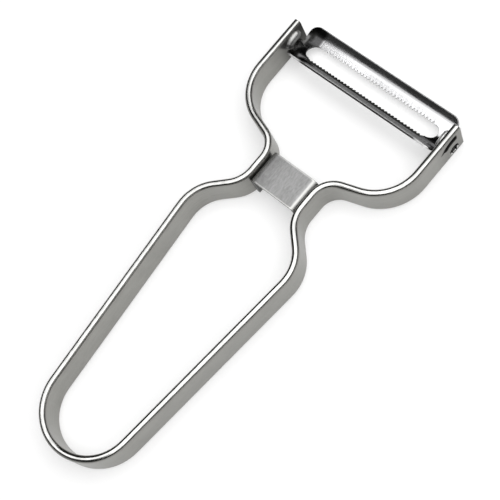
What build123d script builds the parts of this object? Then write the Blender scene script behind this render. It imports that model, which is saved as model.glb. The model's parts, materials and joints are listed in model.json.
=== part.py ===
from build123d import *
import os
from math import acos, asin, atan2, cos, degrees, hypot, radians, sin, sqrt

# A Y-shaped vegetable peeler, in millimetres. X runs across the tool, Y along it from the
# handle's end bend to the blade, and Z is up, square to the plane of the bent strip. The
# peeler lies flat on Z = 0, with the origin under the middle of its length and width.

# Flat strip that makes the handle loop, the waist and both arms
strip_width = 11.8
strip_thickness = 2.4
strip_edge_bevel = 0.68
strip_edge_easing = 0.25

# Centreline of the strip, from the end bend up to the arm's tip
bend_radius = 15.8
taper_length = 71.4
shoulder_half_width = 22.3
shoulder_radius = 13.6
shoulder_to_waist_length = 11.0
waist_half_width = 10.5
waist_lower_radius = 10.3
waist_length = 15.2
waist_upper_radius = 7.8
yoke_rise = 6.8
arm_half_spacing = 32.3
arm_bend_radius = 15.4
arm_length = 30.0
arm_tip_upper_radius = 0.4
arm_tip_lower_radius = 1.4

# Pivot holes in the arms
pivot_from_tip = 4.05
pivot_height = 3.1
pivot_hole_radius = 1.75
pivot_hole_break = 0.3

# Stops pressed inwards from the arms' outer faces, on an arc about the pivot
stop_arc_radius = 5.6
stop_ridge_width = 3.0
stop_ridge_height = 1.6
stop_ridge_rounding = 1.3
stop_recess_width = 2.1
stop_recess_depth = 1.8
stop_recess_rim_break = 0.15
stop_gap = 0.3

# Bridge plate, a folded channel between the two runs of the waist
bridge_sheet = 1.0
bridge_length = 11.6
bridge_bend_radius = 2.4
bridge_face_drop = 1.2
bridge_foot_rise = 0.2

# Blade sheet, arched about an axis that runs along X, above the pivot
blade_sheet = 0.6
blade_arch_radius = 9.4
blade_crown_height = 0.5
blade_rim_half_width = 7.35
blade_corner_radius = 3.2
blade_end_gap = 0.8
blade_rest_tilt = 15.0
blade_swing = 54.0

# Slot in the blade, with two ground and serrated cutting edges
slot_end_web = 3.7
slot_half_width = 2.8
edge_grind_width = 2.2
edge_land = 0.15
tooth_pitch = 1.3
tooth_tip_width = 0.3
tooth_depth = 0.7

# End tongues, formed into half-tube trunnions
trunnion_clearance = 0.05
trunnion_recess = 0.9
trunnion_lip_height = 0.6
swage_length = 3.0
tongue_notch_radius = 0.5

# How far a cutting solid runs past what it cuts
cut_overrun = 2.0

# Places along Y, counted from the outside of the handle's end bend
half_thickness = strip_thickness / 2
bend_station = bend_radius + half_thickness
shoulder_station = bend_station + taper_length
waist_lower_station = shoulder_station + shoulder_to_waist_length
waist_upper_station = waist_lower_station + waist_length
arm_station = waist_upper_station + yoke_rise
tip_station = arm_station + arm_length
pivot_station = tip_station - pivot_from_tip
bridge_station = (waist_lower_station + waist_upper_station) / 2

# Faces of the arms, across X
arm_inner_face = arm_half_spacing - half_thickness
arm_outer_face = arm_half_spacing + half_thickness

# Blade section in the blade's own frame: X is the pivot axis, Z points into the arch
blade_inner_radius = blade_arch_radius - blade_sheet / 2
blade_outer_radius = blade_arch_radius + blade_sheet / 2
arch_centre_height = blade_crown_height + blade_arch_radius
rim_angle = degrees(asin(blade_rim_half_width / blade_arch_radius))
rim_reach = blade_outer_radius * sin(radians(rim_angle))
rim_height = arch_centre_height - blade_outer_radius * cos(radians(rim_angle))
blade_half_length = arm_inner_face - blade_end_gap
slot_half_length = blade_half_length - slot_end_web
slot_straight_half_length = slot_half_length - slot_half_width
trunnion_radius = pivot_hole_radius - trunnion_clearance
trunnion_end = arm_outer_face - trunnion_recess

# Length over all, from the end bend to the rim of the tilted blade
tilt = radians(blade_rest_tilt)
tool_length = pivot_station + rim_reach * cos(tilt) + rim_height * sin(tilt)


def along(station):
    """Y of a place that is counted from the handle's end."""
    return station - tool_length / 2


def both_sides(solid):
    """The solid and its mirror image on the other side of the tool."""
    return [solid, mirror(solid, about=Plane.YZ)]


def strip_centreline():
    """The strip's centreline, one open and tangent path from arm tip to arm tip."""
    bend_centre = Vector(0, along(bend_station))
    shoulder = Vector(shoulder_half_width, along(shoulder_station))
    span = shoulder - bend_centre
    # The taper leaves the end bend where it is tangent to it.
    turn = atan2(span.Y, span.X) - acos(bend_radius / hypot(span.X, span.Y))
    leaving = bend_centre + Vector(cos(turn), sin(turn)) * bend_radius
    right_run = FilletPolyline(
        leaving,
        shoulder,
        (waist_half_width, along(waist_lower_station)),
        (waist_half_width, along(waist_upper_station)),
        (arm_half_spacing, along(arm_station)),
        (arm_half_spacing, along(tip_station)),
        radius=[shoulder_radius, waist_lower_radius, waist_upper_radius, arm_bend_radius],
    )
    left_run = mirror(right_run, about=Plane.YZ)
    end_bend = ThreePointArc(
        Vector(-leaving.X, leaving.Y),
        bend_centre - Vector(0, bend_radius),
        leaving,
    )
    return Wire(left_run.edges() + end_bend.edges() + right_run.edges())


def strip_section():
    """The strip's section: a rectangle whose corners are rolled round in three narrow facets."""
    section = Rectangle(strip_thickness, strip_width)
    section = chamfer(section.vertices(), strip_edge_bevel)
    return chamfer(section.vertices(), strip_edge_easing)


def side_outline():
    """The strip seen along X: its arm tips are trimmed with two rounded corners."""
    tip_y = along(tip_station)
    outline = Pos(tip_y - tip_station / 2, strip_width / 2) * Rectangle(tip_station, strip_width)
    corners = outline.vertices().group_by(Axis.X)[-1].sort_by(Axis.Y)
    outline = fillet(corners[0], arm_tip_lower_radius)
    corners = outline.vertices().sort_by(Axis.Y)[-2:].sort_by(Axis.X)
    return fillet(corners[-1], arm_tip_upper_radius)


def bent_strip():
    """The flat strip on edge, bent along its centreline and trimmed at the arm tips."""
    path = Pos(Z=strip_width / 2) * strip_centreline()
    start = Plane(origin=path @ 0, x_dir=(1, 0, 0), z_dir=path % 0)
    strip = sweep(start * strip_section(), path=path)
    return strip & extrude(Plane.YZ * side_outline(), arm_outer_face + cut_overrun, both=True)


def stop_slot(width):
    """The outline of a stop: an arc about the pivot that the tilted blade's wings run into."""
    # A rounded end lies stop_gap from the hollow of the arch when the swing ends there.
    nose_radius = stop_ridge_width / 2
    centre_distance = blade_inner_radius - nose_radius - stop_gap
    reach = stop_arc_radius**2 + arch_centre_height**2 - centre_distance**2
    nose_angle = degrees(acos(reach / (2 * stop_arc_radius * arch_centre_height)))
    # The arc's angles are counted from the tool's Y, so 90 is straight up from the pivot.
    first = 90 - blade_rest_tilt + blade_swing - nose_angle
    last = 90 - blade_rest_tilt + nose_angle
    return SlotArc(CenterArc((0, 0), stop_arc_radius, first, last - first), width)


def arm_plane(face_x):
    """A plane across an arm at the pivot, whose local axes are the tool's Y and Z."""
    centre = (face_x, along(pivot_station), pivot_height)
    return Plane(origin=centre, x_dir=(0, 1, 0), z_dir=(1, 0, 0))


def stop_ridge():
    """The ridge of the right arm's stop, on the arm's inner face."""
    ridge = extrude(arm_plane(arm_inner_face) * stop_slot(stop_ridge_width), -stop_ridge_height)
    crest = ridge.faces().sort_by(Axis.X)[0]
    return fillet(crest.edges(), stop_ridge_rounding)


def stop_recess():
    """The hollow behind the right arm's ridge, open on the arm's outer face."""
    return extrude(arm_plane(arm_outer_face) * stop_slot(stop_recess_width), -stop_recess_depth)


def pivot_drill():
    """What the drill takes from both arms: the pivot holes and the broken edges outside."""
    drill = Cylinder(pivot_hole_radius, 2 * (arm_outer_face + cut_overrun))
    # The countersink runs on outwards past the face at the same slope.
    depth = pivot_hole_break + cut_overrun
    countersink = Cone(pivot_hole_radius, pivot_hole_radius + depth, depth)
    lift = arm_outer_face + cut_overrun - depth / 2
    for turn in (0, 180):
        drill += Rot(X=turn) * Pos(Z=lift) * countersink
    return Pos(0, along(pivot_station), pivot_height) * Rot(Y=90) * drill


def handle_frame():
    """The strip with a pivot hole and a stop in each arm."""
    frame = bent_strip()
    for ridge in both_sides(stop_ridge()):
        frame += ridge
    for recess in both_sides(stop_recess()):
        frame -= recess
    # The edge of the recess is broken on each arm's outer face.
    for side in (0, -1):
        outer_face = frame.faces().filter_by(Axis.X).sort_by(Axis.X)[side]
        frame = chamfer(outer_face.inner_wires()[0].edges(), stop_recess_rim_break)
    return frame - pivot_drill()


def bridge_plate():
    """The channel between the two runs of the waist, open towards Z = 0."""
    half_width = waist_half_width - half_thickness
    foot = bridge_foot_rise
    top = strip_width - bridge_face_drop
    inner_half_width = half_width - bridge_sheet
    inner_top = top - bridge_sheet
    outside = FilletPolyline(
        (-half_width, foot),
        (-half_width, top),
        (half_width, top),
        (half_width, foot),
        radius=bridge_bend_radius,
    )
    inside = FilletPolyline(
        (-inner_half_width, foot),
        (-inner_half_width, inner_top),
        (inner_half_width, inner_top),
        (inner_half_width, foot),
        radius=bridge_bend_radius - bridge_sheet,
    )
    feet = Line(outside @ 0, inside @ 0) + Line(outside @ 1, inside @ 1)
    profile = Plane.XZ * make_face(outside + inside + feet)
    return Pos(0, along(bridge_station), 0) * extrude(profile, bridge_length / 2, both=True)


def sheet_height(radius, reach):
    """Height of one face of the arched sheet at a distance from the blade's midline."""
    return arch_centre_height - sqrt(radius**2 - reach**2)


def arched_sheet():
    """The blade's sheet, bent to its arch, with the corners of both wings rounded."""
    centre = (0, arch_centre_height)
    # The crown lies straight down from the arch's centre, at -90.
    start = -90 - rim_angle
    outside = CenterArc(centre, blade_outer_radius, start, 2 * rim_angle)
    inside = CenterArc(centre, blade_inner_radius, start, 2 * rim_angle)
    rims = Line(outside @ 0, inside @ 0) + Line(outside @ 1, inside @ 1)
    section = Plane.YZ * make_face(outside + inside + rims)
    sheet = extrude(section, blade_half_length, both=True)
    end_edges = sheet.edges().group_by(Axis.X)
    corners = (end_edges[0] + end_edges[-1]).filter_by(GeomType.LINE)
    return fillet(corners, blade_corner_radius)


def serrated_edge():
    """The line of one cutting edge along the slot: a row of V-shaped gullets between flat tips."""
    gullet_count = int(2 * slot_straight_half_length / tooth_pitch)
    half_mouth = (tooth_pitch - tooth_tip_width) / 2
    points = [(-slot_straight_half_length, slot_half_width)]
    for index in range(gullet_count):
        place = (index - (gullet_count - 1) / 2) * tooth_pitch
        points.append((place - half_mouth, slot_half_width))
        points.append((place, slot_half_width + tooth_depth))
        points.append((place + half_mouth, slot_half_width))
    points.append((slot_straight_half_length, slot_half_width))
    return Polyline(*points)


def serrated_slot():
    """The slot's outline: two serrated edges joined by round ends."""
    edge = serrated_edge()
    far_edge = mirror(edge, about=Plane.XZ)
    ends = [
        ThreePointArc(edge @ end, (side * slot_half_length, 0), far_edge @ end)
        for side, end in ((-1, 0), (1, 1))
    ]
    return make_face(edge.edges() + far_edge.edges() + ends[0].edges() + ends[1].edges())


def edge_grinds():
    """Prisms that grind both cutting edges from the hollow side, down to a narrow land."""
    heel_reach = slot_half_width + edge_grind_width
    heel = Vector(heel_reach, sheet_height(blade_inner_radius, heel_reach))
    tip_height = sheet_height(blade_outer_radius, slot_half_width) + edge_land
    tip = Vector(slot_half_width, tip_height)
    # The ground face runs on past the tip as far as the middle of the slot.
    middle = tip + (tip - heel) * (tip.X / (heel.X - tip.X))
    wedge = Plane.YZ * make_face(Polyline(heel, middle, Vector(middle.X, heel.Y), close=True))
    grind = extrude(wedge, slot_straight_half_length, both=True)
    return [grind, mirror(grind, about=Plane.XZ)]


def swaged_tongue(radius, end):
    """A round bar about the pivot axis that fades into the sheet's crown as an oblique cone."""
    share = radius / trunnion_radius
    root = Plane(origin=(blade_half_length, 0, 0), z_dir=(1, 0, 0)) * Circle(radius)
    apex = Vertex(blade_half_length - swage_length * share, 0, blade_crown_height * share)
    return loft([apex, root], ruled=True) + extrude(root, end - blade_half_length)


def trunnion():
    """The right-hand tongue before it is hollowed: a bar cut off level with its lips."""
    bar = swaged_tongue(trunnion_radius, trunnion_end)
    above = Rectangle(2 * (trunnion_end + cut_overrun), 2 * blade_rim_half_width)
    return bar - extrude(Pos(Z=trunnion_lip_height) * above, trunnion_radius)


def trunnion_hollow():
    """The hollow of the right-hand tongue, open upwards into the arch."""
    radius = trunnion_radius - blade_sheet
    share = radius / trunnion_radius
    end = trunnion_end + cut_overrun
    root = blade_half_length
    mouth = Polyline(
        (root - swage_length * share, 0),
        (root, radius),
        (end, radius),
        (end, -radius),
        (root, -radius),
        close=True,
    )
    return swaged_tongue(radius, end) + extrude(make_face(mouth), rim_height)


def swivel_blade():
    """The blade at rest, leaning on the lower ends of the stops."""
    blade = arched_sheet()
    for grind in edge_grinds():
        blade -= grind
    blade -= extrude(serrated_slot(), rim_height, both=True)
    notch = extrude(Circle(tongue_notch_radius), rim_height, both=True)
    for side in (-1, 1):
        beside = side * (trunnion_radius + tongue_notch_radius)
        for cutter in both_sides(Pos(blade_half_length, beside) * notch):
            blade -= cutter
    for solid in both_sides(trunnion()):
        blade += solid
    for solid in both_sides(trunnion_hollow()):
        blade -= solid
    return Pos(0, along(pivot_station), pivot_height) * Rot(X=-blade_rest_tilt) * blade


os.makedirs("parts", exist_ok=True)
pieces = {
    "handle_frame": handle_frame(),
    "bridge_plate": bridge_plate(),
    "swivel_blade": swivel_blade(),
}
for name, piece in pieces.items():
    export_step(piece, f"parts/{name}.step")
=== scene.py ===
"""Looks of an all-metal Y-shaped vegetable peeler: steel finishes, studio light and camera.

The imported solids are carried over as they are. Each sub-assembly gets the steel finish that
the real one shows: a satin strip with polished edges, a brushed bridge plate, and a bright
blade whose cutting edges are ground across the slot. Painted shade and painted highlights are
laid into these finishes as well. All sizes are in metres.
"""

from __future__ import annotations

import json
import logging
import math
from dataclasses import dataclass, field, replace
from enum import Enum
from typing import Any, Sequence, Union

import bpy
from mathutils import Matrix, Vector


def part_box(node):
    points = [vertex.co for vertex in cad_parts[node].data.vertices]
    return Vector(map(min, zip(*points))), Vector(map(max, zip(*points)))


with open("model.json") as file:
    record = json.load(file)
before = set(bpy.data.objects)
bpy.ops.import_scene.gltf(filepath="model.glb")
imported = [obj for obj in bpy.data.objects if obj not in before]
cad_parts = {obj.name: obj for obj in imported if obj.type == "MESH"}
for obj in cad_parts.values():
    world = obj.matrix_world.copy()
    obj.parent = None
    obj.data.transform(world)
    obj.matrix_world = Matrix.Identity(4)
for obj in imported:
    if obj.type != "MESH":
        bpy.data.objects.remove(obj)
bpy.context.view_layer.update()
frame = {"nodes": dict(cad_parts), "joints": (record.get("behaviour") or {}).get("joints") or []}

log = logging.getLogger("peeler")

Triple = tuple[float, float, float]
Pair = tuple[float, float]

MM = 0.001

# How wide the fade is from one look to the next.
HAIR = 0.05 * MM
FINE = 0.1 * MM
SOFT = 0.3 * MM

# Features to a metre along X, Y and Z.
CLOUDS: Triple = (130.0, 130.0, 130.0)
SPECKLES: Triple = (2600.0, 2600.0, 2600.0)

# What lines, clouds and speckles add to a steel's tone, and lines and speckles to its relief.
TONE_SHARES: Triple = (0.55, 0.30, 0.15)
RELIEF_SHARES: Pair = (0.7, 0.3)

# The part of a noise that is stretched over the whole range.
CONTRAST: Pair = (0.30, 0.70)

# Cosines of the angle from a face to its rolled edge, where wear starts and is complete.
WORN_COSINES: Pair = (0.995, 0.80)

WHITE: Triple = (1.0, 1.0, 1.0)
# Near-black paint for painted shade: dark recesses, shadowed edges and dark reflections.
SHADE_BLACK: Triple = (0.012, 0.012, 0.011)


class Signal:
    """One output socket of a shader tree, which can be used in arithmetic."""

    def __init__(self, tree: "ShaderTree", socket: bpy.types.NodeSocket | None) -> None:
        """Wraps a socket.

        Args:
            tree: The tree that the socket belongs to.
            socket: The output socket, or nothing for a node that ends the tree.
        """
        self.tree = tree
        self.socket = socket

    def __add__(self, other: "Value") -> "Signal":
        """Sum."""
        return self.tree.sum_up("ADD", self, other)

    def __radd__(self, other: "Value") -> "Signal":
        """Sum, reflected."""
        return self.tree.sum_up("ADD", other, self)

    def __sub__(self, other: "Value") -> "Signal":
        """Difference."""
        return self.tree.sum_up("SUBTRACT", self, other)

    def __rsub__(self, other: "Value") -> "Signal":
        """Difference, reflected."""
        return self.tree.sum_up("SUBTRACT", other, self)

    def __mul__(self, other: "Value") -> "Signal":
        """Product."""
        return self.tree.sum_up("MULTIPLY", self, other)

    def __rmul__(self, other: "Value") -> "Signal":
        """Product, reflected."""
        return self.tree.sum_up("MULTIPLY", other, self)

    def __abs__(self) -> "Signal":
        """Magnitude."""
        return self.tree.sum_up("ABSOLUTE", self)

    def root(self) -> "Signal":
        """Square root."""
        return self.tree.sum_up("SQRT", self)

    def either(self, other: "Value") -> "Signal":
        """The larger of the two."""
        return self.tree.sum_up("MAXIMUM", self, other)

    def capped(self) -> "Signal":
        """The value, but no more than 1."""
        return self.tree.sum_up("MINIMUM", self, 1.0)

    def rise(self, low: float, high: float) -> "Signal":
        """A smooth step from 0 at low to 1 at high, which may be the lower number of the two.

        Args:
            low: Where the step is still 0.
            high: Where the step has reached 1.

        Returns:
            The step.
        """
        return self.tree.node(
            "ShaderNodeMapRange",
            {"interpolation_type": "SMOOTHSTEP"},
            {"Value": self, "From Min": low, "From Max": high, "To Min": 0.0, "To Max": 1.0},
            "Result",
        )

    def within(self, low: float, high: float, fade: float) -> "Signal":
        """A band that is 1 from low to high, and fades to 0 on either side.

        Args:
            low: The band's lower limit.
            high: The band's upper limit.
            fade: How wide the fade is.

        Returns:
            The band.
        """
        return self.rise(low - fade, low) * self.rise(high + fade, high)

    def spread(self, low: float, high: float) -> "Signal":
        """Stretches a 0 to 1 signal over the range from low to high."""
        return self * (high - low) + low


Value = Union[Signal, float]


class ShaderTree:
    """The node tree of one material or world."""

    def __init__(self, tree: bpy.types.NodeTree) -> None:
        """Empties a tree.

        Args:
            tree: The node tree to build in.
        """
        self.tree = tree
        self.tree.nodes.clear()

    def node(
        self,
        kind: str,
        settings: dict[str, Any] | None = None,
        sockets: dict[Any, Any] | None = None,
        output: Any = 0,
    ) -> Signal:
        """Adds one node.

        Args:
            kind: The node's type.
            settings: Its settings, set before its sockets.
            sockets: Values or links of its input sockets, by name or number.
            output: Name or number of the output that is wanted.

        Returns:
            That output.
        """
        made = self.tree.nodes.new(kind)
        for name, setting in (settings or {}).items():
            setattr(made, name, setting)
        for name, value in (sockets or {}).items():
            socket = made.inputs[name]
            if isinstance(value, Signal):
                self.tree.links.new(value.socket, socket)
            elif isinstance(value, tuple) and socket.type == "RGBA":
                socket.default_value = (*value, 1.0)
            else:
                socket.default_value = value
        return Signal(self, made.outputs[output] if made.outputs else None)

    def sum_up(self, operation: str, *values: Value) -> Signal:
        """A Math node over one or two numbers."""
        return self.node("ShaderNodeMath", {"operation": operation}, dict(enumerate(values)))

    def vector(self, operation: str, *values: Any, output: Any = 0) -> Signal:
        """A Vector Math node over one or two vectors."""
        settings = {"operation": operation}
        return self.node("ShaderNodeVectorMath", settings, dict(enumerate(values)), output)

    def mix(self, factor: Value, low: Any, high: Any) -> Signal:
        """A colour between two colours: the first where the factor is 0."""
        sockets = {0: factor, 6: low, 7: high}
        return self.node("ShaderNodeMix", {"data_type": "RGBA"}, sockets, 2)

    def place(self) -> Signal:
        """The point on the object, in the object's own frame."""
        return self.node("ShaderNodeTexCoord", output="Object")

    def axes(self, vector: Signal) -> tuple[Signal, Signal, Signal]:
        """The three components of a vector."""
        split = self.node("ShaderNodeSeparateXYZ", sockets={"Vector": vector})
        across, along, height = split.socket.node.outputs
        return Signal(self, across), Signal(self, along), Signal(self, height)

    def noise(
        self,
        vector: Signal,
        stretch: Sequence[float],
        detail: float = 2.0,
        roughness: float = 0.5,
    ) -> Signal:
        """A noise from 0 to 1.

        Args:
            vector: The place.
            stretch: How many features there are to a metre, along each axis.
            detail: How many finer layers it has.
            roughness: How strong the finer layers are.

        Returns:
            The noise.
        """
        scaled = self.vector("MULTIPLY", vector, Vector(stretch))
        return self.node(
            "ShaderNodeTexNoise",
            {"noise_dimensions": "3D"},
            {"Vector": scaled, "Scale": 1.0, "Detail": detail, "Roughness": roughness},
            "Fac",
        )

    def rolled_normal(self, radius: float) -> Signal:
        """The surface's normal, with every edge rolled round to a radius."""
        return self.node("ShaderNodeBevel", {"samples": 6}, {"Radius": radius})

    def edge_wear(self, radius: float) -> Signal:
        """A mask that is 1 along the edges and 0 on open faces.

        Args:
            radius: How far from an edge the wear reaches.

        Returns:
            The mask.
        """
        flat = self.node("ShaderNodeNewGeometry", output="Normal")
        rolled = self.rolled_normal(radius)
        facing = self.vector("DOT_PRODUCT", rolled, flat, output="Value")
        return facing.rise(*WORN_COSINES)

    def metal(self, skin: "Skin", normal: Signal) -> None:
        """Ends the tree in a metal surface, mixed with dull black painted shade where the skin
        asks for it.

        Args:
            skin: Its colour, roughness and painted shade.
            normal: The normal.
        """
        steel = {
            "Base Color": skin.colour,
            "Metallic": 1.0,
            "Roughness": skin.roughness,
            "Normal": normal,
        }
        bare = self.node("ShaderNodeBsdfPrincipled", {"distribution": "MULTI_GGX"}, steel)
        # A dull near-black surface that paints shade where the skin's mask is 1.
        shade_settings = {
            "Base Color": SHADE_BLACK,
            "Metallic": 0.0,
            "Roughness": 0.9,
            "Specular IOR Level": 0.1,
        }
        paint_shade = self.node("ShaderNodeBsdfPrincipled", sockets=shade_settings)
        surface = self.node("ShaderNodeMixShader", sockets={0: skin.painted_shade, 1: bare, 2: paint_shade})
        self.node("ShaderNodeOutputMaterial", sockets={"Surface": surface})


@dataclass(frozen=True)
class Skin:
    """What covers a surface: its colour, roughness, relief and painted shade."""

    colour: Signal
    roughness: Signal
    relief: Signal
    painted_shade: Value = 0.0

    def patch(self, mask: Signal, colour: Any, roughness: Value) -> "Skin":
        """Lays another colour and roughness over part of the skin.

        Args:
            mask: 1 where the patch lies.
            colour: The patch's colour.
            roughness: The patch's roughness.

        Returns:
            The patched skin.
        """
        return replace(
            self,
            colour=mask.tree.mix(mask, self.colour, colour),
            roughness=self.roughness * (1.0 - mask) + mask * roughness,
        )

    def toned(self, mask: Signal, share: float) -> "Skin":
        """Darkens or lightens part of the skin.

        Args:
            mask: 1 where the tone changes.
            share: What the colour is multiplied by there.

        Returns:
            The toned skin.
        """
        colour = mask.tree.vector("MULTIPLY", self.colour, Vector((share, share, share)))
        return self.patch(mask, colour, self.roughness)

    def paint_shade(self, mask: Signal) -> "Skin":
        """The skin with dull black painted shade where the mask is 1."""
        return replace(self, painted_shade=mask.either(self.painted_shade))


class Grain(Enum):
    """The way that the lines of a finish run, as features to a metre along X, Y and Z."""

    ROUND_THE_STRIP = (160.0, 160.0, 5200.0)
    ALONG_THE_TOOL = (4000.0, 640.0, 4000.0)
    ACROSS_THE_TOOL = (90.0, 5200.0, 5200.0)


@dataclass(frozen=True)
class SteelFinish:
    """A bare stainless steel finish, with its grain, clouds and worn edges."""

    name: str
    grain: Grain
    dark: Triple
    light: Triple
    worn: Triple
    roughness: Pair
    worn_roughness: float
    grain_depth: float
    edge_radius: float

    def material(self) -> bpy.types.Material:
        """Makes the material.

        Returns:
            The finished material.
        """
        made = bpy.data.materials.new(self.name)
        made.use_nodes = True
        tree = ShaderTree(made.node_tree)
        skin = self.skin(tree)
        normal = tree.node(
            "ShaderNodeBump",
            sockets={
                "Height": skin.relief,
                "Strength": 1.0,
                "Distance": self.grain_depth,
                "Normal": tree.rolled_normal(self.edge_radius),
            },
        )
        tree.metal(skin, normal)
        return made

    def place(self, tree: ShaderTree) -> Signal:
        """The place that the grain and the patches follow."""
        return tree.place()

    def wear(self, tree: ShaderTree) -> Signal:
        """Where the edges have worn smooth."""
        return tree.edge_wear(self.edge_radius)

    def skin(self, tree: ShaderTree) -> Skin:
        """Works out the finish all over, before any patch.

        Args:
            tree: The material's tree.

        Returns:
            The skin.
        """
        place = self.place(tree)
        lines = tree.noise(place, self.grain.value, detail=3.0, roughness=0.6)
        cloud = tree.noise(place, CLOUDS, detail=3.0)
        speckle = tree.noise(place, SPECKLES, detail=1.0)
        of_lines, of_cloud, of_speckle = TONE_SHARES
        tone = lines * of_lines + cloud * of_cloud + speckle * of_speckle
        colour = tree.mix(tone.rise(*CONTRAST), self.dark, self.light)
        satin = (lines * 0.5 + cloud * 0.5).rise(*CONTRAST).spread(*self.roughness)
        of_lines, of_speckle = RELIEF_SHARES
        skin = Skin(colour, satin, lines * of_lines + speckle * of_speckle)
        return skin.patch(self.wear(tree), self.worn, self.worn_roughness)


@dataclass(frozen=True)
class PivotPlace:
    """A point as lengths from the middle of the pivot axis.

    Across runs to +X, along to +Y and up to +Z. Side is across without its sign, and distance
    is how far the point is from the axis.
    """

    across: Signal
    along: Signal
    up: Signal
    side: Signal
    distance: Signal


@dataclass(frozen=True)
class StripFinish(SteelFinish):
    """Satin strip: polished top, partly painted lighter as a highlight; painted shade on the
    resting edge, the arm tips and the stops; a painted highlight and painted shade in the holes.
    """

    pivot: Triple = (0.0, 0.0, 0.0)
    arm_faces: Pair = (31.1 * MM, 33.5 * MM)
    worn_from: Pair = (3.0 * MM, 8.0 * MM)
    polished_from: Pair = (11.35 * MM, 11.65 * MM)
    polish_streaks: Triple = (420.0, 420.0, 2600.0)
    polish_highlight_dark: Triple = (0.28, 0.28, 0.272)
    polish_highlight_light: Triple = (0.385, 0.384, 0.375)
    polished_roughness: float = 0.17
    shaded_width: Pair = (1.40 * MM, 1.15 * MM)
    shaded_from: Pair = (-22.0 * MM, -10.0 * MM)
    shade_strength: float = 0.72
    resting_height: float = 0.9 * MM
    resting_shade: float = 0.55
    stop_arc: Pair = (4.4 * MM, 6.8 * MM)
    stop_top: float = 2.2 * MM
    stop_bottom: float = 3.0 * MM
    stop_depth: Pair = (0.01 * MM, 0.06 * MM)
    stop_shade: float = 0.94
    rim_width: float = 0.7 * MM
    rim_depth: Pair = (0.3 * MM, 0.2 * MM)
    rim_top: Pair = (2.2 * MM, 1.8 * MM)
    rim_bottom: Pair = (3.9 * MM, 4.6 * MM)
    head: Pair = (-9.0 * MM, -2.7 * MM)
    head_shade: Pair = (0.58, 0.20)
    ridge_height: Pair = (0.02 * MM, 0.15 * MM)
    ridge_reach: float = 8.2 * MM
    ridge_shade_cleared: float = 0.8
    left_ridge_shaded: Triple = (0.30, 0.30, 0.295)
    right_ridge_lit: Triple = (0.80, 0.80, 0.79)
    ridge_roughness: float = 0.42
    hole_rim: float = 2.05 * MM
    hole_highlight: Triple = (0.65, 0.65, 0.64)
    hole_roughness: float = 0.2
    bore_floor: Pair = (-0.5 * MM, -1.0 * MM)
    bore_shade: float = 0.92

    def wear(self, tree: ShaderTree) -> Signal:
        """Where the edges have worn smooth: only along the top."""
        height = tree.axes(tree.place())[2]
        return super().wear(tree) * height.rise(*self.worn_from)

    def skin(self, tree: ShaderTree) -> Skin:
        """Works out the finish with its patches.

        Args:
            tree: The material's tree.

        Returns:
            The skin.
        """
        height = tree.axes(tree.place())[2]
        polished = height.rise(*self.polished_from)
        streaks = tree.noise(tree.place(), self.polish_streaks, detail=3.0).rise(*CONTRAST)
        # The polished top is painted lighter than the strip's faces: partly real polish, partly
        # a painted highlight from the lamp overhead.
        polish_and_highlight = tree.mix(streaks, self.polish_highlight_dark, self.polish_highlight_light)
        skin = super().skin(tree).patch(polished, polish_and_highlight, self.polished_roughness)
        point = self.from_pivot(tree)
        # Painted shade: a dark reflection painted along each arm's top on the -X side.
        skin = skin.paint_shade(self.shaded_edge(point) * polished * self.shade_strength)
        # Painted shade: the lowest edge is painted dark, standing in for the floor's shadow that
        # it reflects.
        skin = skin.paint_shade(height.rise(self.resting_height, FINE) * self.resting_shade)
        # Painted shade in each stop's hollow and on a rim round it on the outer face.
        skin = skin.paint_shade(self.stop(point) * self.stop_shade)
        right_side = point.across.rise(-self.arm_faces[0], self.arm_faces[0])
        # Painted shade: the arm tips are painted darker, the left more than the right, standing
        # in for dark reflections.
        head = point.along.rise(*self.head) * (1.0 - polished)
        skin = skin.paint_shade(head * right_side.spread(*self.head_shade))
        # Painted light: the stop ridges are painted a shaded grey on the left arm and a
        # near-white painted highlight on the right, and the painted shade is mostly cleared from
        # them.
        ridge = self.ridge(point)
        tone = tree.mix(right_side, self.left_ridge_shaded, self.right_ridge_lit)
        skin = replace(skin, painted_shade=skin.painted_shade * (1.0 - ridge * self.ridge_shade_cleared))
        skin = skin.patch(ridge, tone, self.ridge_roughness)
        # Painted light in each hole: a bright painted highlight on the lower wall and painted
        # black shade above it.
        bore = self.bore(point)
        skin = skin.patch(bore, self.hole_highlight, self.hole_roughness)
        skin = replace(skin, relief=skin.relief * (1.0 - bore))
        return skin.paint_shade(bore * (1.0 - point.up.rise(*self.bore_floor)) * self.bore_shade)

    def from_pivot(self, tree: ShaderTree) -> PivotPlace:
        """Measures the point on the object from the pivot axis.

        Args:
            tree: The material's tree.

        Returns:
            The point's lengths.
        """
        offset = tree.vector("SUBTRACT", tree.place(), Vector(self.pivot))
        across, along, up = tree.axes(offset)
        distance = (along * along + up * up).root()
        return PivotPlace(across, along, up, abs(across), distance)

    def shaded_edge(self, point: PivotPlace) -> Signal:
        """The side of the two arms towards -X, painted dark along the top as a painted dark
        reflection.

        Args:
            point: The point.

        Returns:
            1 where the painted shade lies.
        """
        inner, outer = self.arm_faces
        left = (point.across + outer).rise(*self.shaded_width)
        right = (point.across - inner).rise(*self.shaded_width) * point.across.rise(0.0, inner)
        arm = point.side.rise(inner - SOFT, inner) * point.along.rise(*self.shaded_from)
        return left.either(right) * arm

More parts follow.
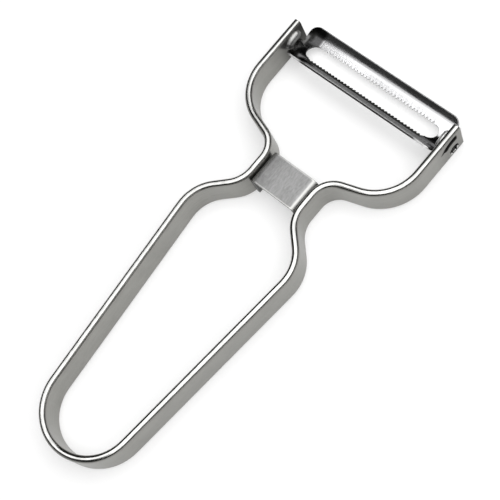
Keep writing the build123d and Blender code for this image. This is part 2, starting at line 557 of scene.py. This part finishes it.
    def stop(self, point: PivotPlace) -> Signal:
        """The hollow of each arm's stop, and a rim round it on the outer face.

        Args:
            point: The point.

        Returns:
            1 in the hollow and on the rim.
        """
        inner, outer = self.arm_faces
        shallow, deep = self.stop_depth
        hollow = point.side.rise(inner, inner + SOFT)
        hollow = hollow * point.side.rise(outer - shallow, outer - deep)
        hollow = hollow * point.distance.within(*self.stop_arc, FINE)
        hollow = hollow * point.along.rise(self.stop_top + SOFT, self.stop_top)
        hollow = hollow * point.up.rise(self.stop_bottom, self.stop_bottom + SOFT)
        deep, shallow = self.rim_depth
        rim = point.side.rise(outer - deep, outer - shallow)
        rim = rim * point.distance.within(*self.stop_arc, self.rim_width)
        rim = rim * point.along.rise(*self.rim_top) * point.up.rise(*self.rim_bottom)
        return hollow.either(rim)

    def ridge(self, point: PivotPlace) -> Signal:
        """The ridge of each arm's stop, which stands up from the inner face.

        Args:
            point: The point.

        Returns:
            1 on the ridge.
        """
        inner = self.arm_faces[0]
        low, high = self.ridge_height
        ridge = point.side.rise(inner - low, inner - high)
        return ridge * point.distance.rise(self.ridge_reach + SOFT, self.ridge_reach)

    def bore(self, point: PivotPlace) -> Signal:
        """The wall and the broken edge of each arm's hole.

        Args:
            point: The point.

        Returns:
            1 in the hole.
        """
        bore = point.distance.rise(self.hole_rim + HAIR, self.hole_rim - HAIR)
        return bore * point.side.rise(0.0, self.arm_faces[0])


@dataclass(frozen=True)
class BridgeFinish(SteelFinish):
    """Brushed sheet, burnished along its two ends and on both bends, lighter there partly as a
    painted highlight; painted shade on its legs and towards -X.
    """

    middle: float = 0.0
    half_length: float = 5.8 * MM
    rims_within: Pair = (0.5 * MM, 0.3 * MM)
    bends_from: Pair = (7.3 * MM, 7.9 * MM)
    burnished_highlight: Triple = (0.41, 0.41, 0.40)
    burnished_roughness: float = 0.48
    top: float = 0.0
    bend_depth: Pair = (1.4 * MM, 0.84 * MM)
    leg_shade: float = 0.32
    shaded: Pair = (-1.5 * MM, -7.0 * MM)
    shade_strength: float = 0.22

    def skin(self, tree: ShaderTree) -> Skin:
        """Works out the finish with its patches.

        Args:
            tree: The material's tree.

        Returns:
            The skin.
        """
        across, along, height = tree.axes(tree.place())
        from_end = self.half_length - abs(along - self.middle)
        upper = (self.top - height).rise(*self.bend_depth)
        bends = abs(across).rise(*self.bends_from)
        burnish = from_end.rise(*self.rims_within).either(bends) * upper
        # The burnished ends and bends are painted lighter: partly real burnish, partly a painted
        # highlight.
        skin = super().skin(tree).patch(burnish, self.burnished_highlight, self.burnished_roughness)
        # Painted shade: the legs, down between the strip's faces, are painted darker.
        skin = skin.paint_shade((1.0 - upper) * self.leg_shade)
        # Painted shade: the plate is painted darker towards -X, standing in for a darker
        # reflection.
        return skin.paint_shade(across.rise(*self.shaded) * self.shade_strength)


@dataclass(frozen=True)
class BladeFinish(SteelFinish):
    """Blade steel whose cutting edges are ground bright, with lines that run off the edge.

    The wing on the handle's side, towards -Y, does the cutting. It is painted darker, as painted
    shade standing in for the dark reflections it shows.
    """

    pivot: Triple = (0.0, 0.0, 0.0)
    tilt: float = math.radians(15.0)
    arch_centre: float = 9.9 * MM
    hollow_radius: float = 9.1 * MM
    sheet: float = 0.6 * MM
    ground_in: Pair = (0.02 * MM, 0.06 * MM)
    ground_out: Pair = (0.01 * MM, 0.05 * MM)
    ground_ends: Pair = (24.6 * MM, 22.6 * MM)
    ground_lines: Triple = (6500.0, 300.0, 300.0)
    ground_contrast: Pair = (0.25, 0.70)
    ground_relief: float = 1.6
    ground_dark: Triple = (0.30, 0.30, 0.305)
    ground_light: Triple = (0.44, 0.44, 0.445)
    ground_roughness: float = 0.22
    near_side: Pair = (0.8 * MM, -0.8 * MM)
    near_shade_share: float = 0.34
    near_cut_shade: float = 0.97
    near_ends: Pair = (26.5 * MM, 30.0 * MM)
    end_share: float = 1.8
    near_slope: Pair = (-4.2 * MM, -6.6 * MM)
    slope_share: float = 0.62
    shaded_end: Pair = (-22.9 * MM, -24.9 * MM)
    shaded_end_share: float = 0.10
    far_band: Pair = (4.6 * MM, 5.4 * MM)
    band_shade_share: float = 0.62
    highlight_end: Pair = (2.0 * MM, -12.0 * MM)
    highlight_width: Pair = (5.5 * MM, 4.7 * MM)
    highlight_share: float = 1.45
    near_rim: Pair = (-6.9 * MM, -7.0 * MM)
    rim_roughness: float = 0.5
    neck: Pair = (-28.6 * MM, -29.8 * MM)
    neck_width: Pair = (4.6 * MM, 3.4 * MM)
    neck_colour: Triple = (0.24, 0.24, 0.24)
    neck_roughness: float = 0.45
    journals: Pair = (31.4 * MM, 31.8 * MM)
    journal_shade: float = 0.95

    def place(self, tree: ShaderTree) -> Signal:
        """The point in the blade's own frame, whose X is the pivot axis."""
        centred = tree.vector("SUBTRACT", tree.place(), Vector(self.pivot))
        settings = {"rotation_type": "X_AXIS"}
        sockets = {"Vector": centred, "Angle": self.tilt}
        return tree.node("ShaderNodeVectorRotate", settings, sockets)

    def cut(self, along: Signal, across: Signal, height: Signal) -> Signal:
        """The ground faces of the two cutting edges, which lie inside the sheet.

        Args:
            along: The point along the blade.
            across: The point across the blade.
            height: The point's height over the pivot axis.

        Returns:
            1 on the ground faces.
        """
        drop = self.arch_centre - height
        radius = (across * across + drop * drop).root()
        low_in, high_in = self.ground_in
        low_out, high_out = self.ground_out
        outside = self.hollow_radius + self.sheet
        cut = radius.rise(self.hollow_radius + low_in, self.hollow_radius + high_in)
        cut = cut * radius.rise(outside - low_out, outside - high_out)
        return cut * abs(along).rise(*self.ground_ends)

    def skin(self, tree: ShaderTree) -> Skin:
        """Works out the finish with its patches.

        Args:
            tree: The material's tree.

        Returns:
            The skin.
        """
        skin = super().skin(tree)
        place = self.place(tree)
        along, across, height = tree.axes(place)
        cut = self.cut(along, across, height)
        lines = tree.noise(place, self.ground_lines, detail=2.0, roughness=0.6)
        tone = lines.rise(*self.ground_contrast)
        bright = tree.mix(tone, self.ground_dark, self.ground_light)
        skin = skin.patch(cut, bright, self.ground_roughness)
        relief = skin.relief * (1.0 - cut) + lines * cut * self.ground_relief
        skin = replace(skin, relief=relief)
        near = across.rise(*self.near_side)
        far = 1.0 - near
        # Painted highlight: a lighter patch on the far wing towards its middle.
        highlight_patch = along.rise(*self.highlight_end) * across.rise(*self.highlight_width) * far
        tones = (
            # Painted shade: the near wing is painted darker, standing in for dark reflections.
            (near, self.near_shade_share),
            # Painted light: the near wing's ends are painted lighter again.
            (near * abs(along).rise(*self.near_ends), self.end_share),
            # Painted shade: darker towards the near rim.
            (across.rise(*self.near_slope), self.slope_share),
            # Painted shade: the far wing's -X end is painted darker, standing in for a dark
            # reflection.
            (along.rise(*self.shaded_end) * far, self.shaded_end_share),
            # Painted shade: the far wing's outer band is painted darker, standing in for the
            # dark reflection it shows.
            (across.rise(*self.far_band), self.band_shade_share),
            (highlight_patch, self.highlight_share),
        )
        for mask, share in tones:
            skin = skin.toned(mask, share)
        skin = skin.patch(across.rise(*self.near_rim), self.worn, self.rim_roughness)
        # Painted shade: the near wing's ground face is painted black, standing in for the
        # reflected shade under the blade.
        skin = skin.paint_shade(near * cut * self.near_cut_shade)
        neck = along.rise(*self.neck) * abs(across).rise(*self.neck_width)
        skin = skin.patch(neck, self.neck_colour, self.neck_roughness)
        # Painted shade: the trunnion ends, inside the arms' holes, are painted black.
        return skin.paint_shade(abs(along).rise(*self.journals) * self.journal_shade)


@dataclass
class DressedNode:
    """A CAD node whose shape is right, and which only takes a finish."""

    node: str
    body: str
    finish: SteelFinish

    def dress(self) -> bpy.types.Object:
        """Gives the node its material.

        Returns:
            The node's object.
        """
        piece = frame["nodes"][self.node]
        made = self.finish.material()
        if not piece.material_slots:
            piece.data.materials.append(made)
        for material_slot in piece.material_slots:
            material_slot.material = made
        log.info("%s rides on %s in %s", self.node, self.body, self.finish.name)
        return piece


@dataclass
class HandleFrame(DressedNode):
    """The bent strip: handle loop, waist and arms."""

    node: str = "handle_frame"
    body: str = "frame"
    finish: SteelFinish = field(
        default_factory=lambda: StripFinish(
            name="satin_strip_steel",
            grain=Grain.ROUND_THE_STRIP,
            dark=(0.225, 0.223, 0.208),
            light=(0.315, 0.312, 0.294),
            worn=(0.42, 0.42, 0.41),
            roughness=(0.28, 0.38),
            worn_roughness=0.22,
            grain_depth=0.006 * MM,
            edge_radius=0.25 * MM,
            pivot=tuple(frame["joints"][0]["pos_m"]),
        )
    )


@dataclass
class BridgePlate(DressedNode):
    """The folded channel across the waist."""

    node: str = "bridge_plate"
    body: str = "frame"
    finish: SteelFinish = field(
        default_factory=lambda: BridgeFinish(
            name="brushed_bridge_steel",
            grain=Grain.ALONG_THE_TOOL,
            dark=(0.148, 0.148, 0.147),
            light=(0.318, 0.318, 0.317),
            worn=(0.46, 0.46, 0.45),
            roughness=(0.48, 0.60),
            worn_roughness=0.3,
            grain_depth=0.010 * MM,
            edge_radius=0.35 * MM,
            middle=sum(corner[1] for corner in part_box("bridge_plate")) / 2,
            top=max(corner[2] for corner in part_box("bridge_plate")),
        )
    )


@dataclass
class SwivelBlade(DressedNode):
    """The arched blade with its ground and serrated edges."""

    node: str = "swivel_blade"
    body: str = "blade"
    finish: SteelFinish = field(
        default_factory=lambda: BladeFinish(
            name="bright_blade_steel",
            grain=Grain.ACROSS_THE_TOOL,
            dark=(0.33, 0.33, 0.335),
            light=(0.43, 0.43, 0.435),
            worn=(0.55, 0.55, 0.55),
            roughness=(0.11, 0.18),
            worn_roughness=0.22,
            grain_depth=0.004 * MM,
            edge_radius=0.12 * MM,
            pivot=tuple(frame["joints"][0]["pos_m"]),
        )
    )


@dataclass
class Softbox:
    """A flat soft lamp that faces a point of the stage."""

    name: str
    size: Pair
    place: Triple
    target: Triple
    radiance: float

    def build(self) -> None:
        """Hangs the lamp."""
        width, depth = self.size
        lamp = bpy.data.lights.new(self.name, "AREA")
        lamp.shape = "RECTANGLE"
        lamp.size = width
        lamp.size_y = depth
        lamp.energy = self.radiance * math.pi * width * depth
        made = bpy.data.objects.new(self.name, lamp)
        made.location = self.place
        away = Vector(self.place) - Vector(self.target)
        made.rotation_euler = away.to_track_quat("Z", "Y").to_euler()
        bpy.context.scene.collection.objects.link(made)


@dataclass
class Studio:
    """The floor, the curtain and the lamps."""

    floor_radius: float = 12.0
    shadow_radius: Pair = (0.22, 0.60)
    floor_colour: Triple = (0.50, 0.50, 0.50)
    floor_lift: float = 0.49
    curtain_radius: float = 3.0
    curtain_height: float = 4.6
    curtain_colour: Triple = (0.06, 0.06, 0.06)
    world_light: float = 0.2
    sides: int = 96
    overhead: Softbox = field(
        default_factory=lambda: Softbox(
            name="overhead_softbox",
            size=(2.04, 1.61),
            place=(0.48, 0.295, 1.0),
            target=(0.48, 0.295, 0.0),
            radiance=2.6,
        )
    )
    front: Softbox = field(
        default_factory=lambda: Softbox(
            name="front_fill",
            size=(1.3, 0.9),
            place=(-0.56, -1.0, 0.79),
            target=(0.0, 0.05, 0.0),
            radiance=0.10,
        )
    )

    def build(self) -> None:
        """Builds the stage and the light."""
        self.build_floor()
        self.build_curtain()
        self.build_world()
        self.overhead.build()
        self.front.build()

    def round_mesh(self, name: str, radius: float, rows: Sequence[float]) -> bpy.types.Object:
        """Makes a round floor, or a round wall when it has two rows.

        Args:
            name: The object's name.
            radius: Its radius.
            rows: Heights of the rows of points.

        Returns:
            The object.
        """
        count = self.sides
        turns = [math.tau * index / count for index in range(count)]
        points = [
            (radius * math.cos(turn), radius * math.sin(turn), height)
            for height in rows
            for turn in turns
        ]
        faces = [tuple(range(count))]
        if len(rows) > 1:
            faces = [
                (index, (index + 1) % count, count + (index + 1) % count, count + index)
                for index in range(count)
            ]
        mesh = bpy.data.meshes.new(name)
        mesh.from_pydata(points, [], faces)
        made = bpy.data.objects.new(name, mesh)
        bpy.context.scene.collection.objects.link(made)
        return made

    def seen_directly(self, tree: ShaderTree) -> Signal:
        """1 for rays of the camera and of mirror-like and clear surfaces, 0 for the rest."""
        camera = tree.node("ShaderNodeLightPath", output="Is Camera Ray")
        glossy = tree.node("ShaderNodeLightPath", output="Is Glossy Ray")
        clear = tree.node("ShaderNodeLightPath", output="Is Transmission Ray")
        return (camera + glossy + clear).capped()

    def build_floor(self) -> None:
        """A pale floor, white away from the object and shaded under it."""
        floor = self.round_mesh("studio_floor", self.floor_radius, (0.0,))
        made = bpy.data.materials.new("white_paper_floor")
        made.use_nodes = True
        tree = ShaderTree(made.node_tree)
        direct = self.seen_directly(tree)
        fade = tree.vector("LENGTH", tree.place(), output="Value").rise(*self.shadow_radius)
        paper = tree.node("ShaderNodeBsdfDiffuse", sockets={"Color": self.floor_colour})
        sockets = {"Color": WHITE, "Strength": direct * self.floor_lift}
        lift = tree.node("ShaderNodeEmission", sockets=sockets)
        lit_paper = tree.node("ShaderNodeAddShader", sockets={0: paper, 1: lift})
        plain = tree.node("ShaderNodeEmission", sockets={"Color": WHITE, "Strength": 1.0})
        sockets = {0: fade * direct, 1: lit_paper, 2: plain}
        surface = tree.node("ShaderNodeMixShader", sockets=sockets)
        tree.node("ShaderNodeOutputMaterial", sockets={"Surface": surface})
        floor.data.materials.append(made)

    def build_curtain(self) -> None:
        """A dark curtain round the stage, which gives the steel its dark lines."""
        rows = (0.0, self.curtain_height)
        curtain = self.round_mesh("studio_curtain", self.curtain_radius, rows)
        made = bpy.data.materials.new("dark_curtain")
        made.use_nodes = True
        tree = ShaderTree(made.node_tree)
        sockets = {"Color": self.curtain_colour, "Roughness": 0.5}
        cloth = tree.node("ShaderNodeBsdfDiffuse", sockets=sockets)
        tree.node("ShaderNodeOutputMaterial", sockets={"Surface": cloth})
        curtain.data.materials.append(made)
        curtain.visible_camera = False
        curtain.visible_shadow = False

    def build_world(self) -> None:
        """A white background that gives only a little light."""
        world = bpy.data.worlds.new("studio_world")
        bpy.context.scene.world = world
        world.use_nodes = True
        tree = ShaderTree(world.node_tree)
        strength = self.seen_directly(tree).spread(self.world_light, 1.0)
        sockets = {"Color": WHITE, "Strength": strength}
        background = tree.node("ShaderNodeBackground", sockets=sockets)
        tree.node("ShaderNodeOutputWorld", sockets={"Surface": background})


@dataclass
class PhotoCamera:
    """The camera at the photograph's place, with its picture's axes as unit vectors."""

    place: Triple = (0.159169, -0.026728, 0.351943)
    right: Triple = (0.720411, 0.642749, -0.260542)
    up: Triple = (-0.561805, 0.761100, 0.324194)
    back: Triple = (0.406674, -0.087180, 0.909404)
    lens: float = 89.183
    sensor: float = 36.0

    def build(self) -> None:
        """Makes the camera and looks through it."""
        data = bpy.data.cameras.new("photo_camera")
        data.lens = self.lens
        data.sensor_width = self.sensor
        data.clip_start = 0.01
        data.clip_end = 50.0
        made = bpy.data.objects.new("photo_camera", data)
        turn = Matrix((self.right, self.up, self.back)).transposed().to_4x4()
        made.matrix_world = Matrix.Translation(Vector(self.place)) @ turn
        bpy.context.scene.collection.objects.link(made)
        bpy.context.scene.camera = made


def main() -> None:
    """Builds the camera and the studio, and dresses the pieces."""
    logging.basicConfig(level=logging.INFO, format="%(message)s")
    bpy.context.scene.view_settings.view_transform = "Standard"
    PhotoCamera().build()
    Studio().build()
    for piece in (HandleFrame(), BridgePlate(), SwivelBlade()):
        piece.dress()


if __name__ == "__main__":
    main()
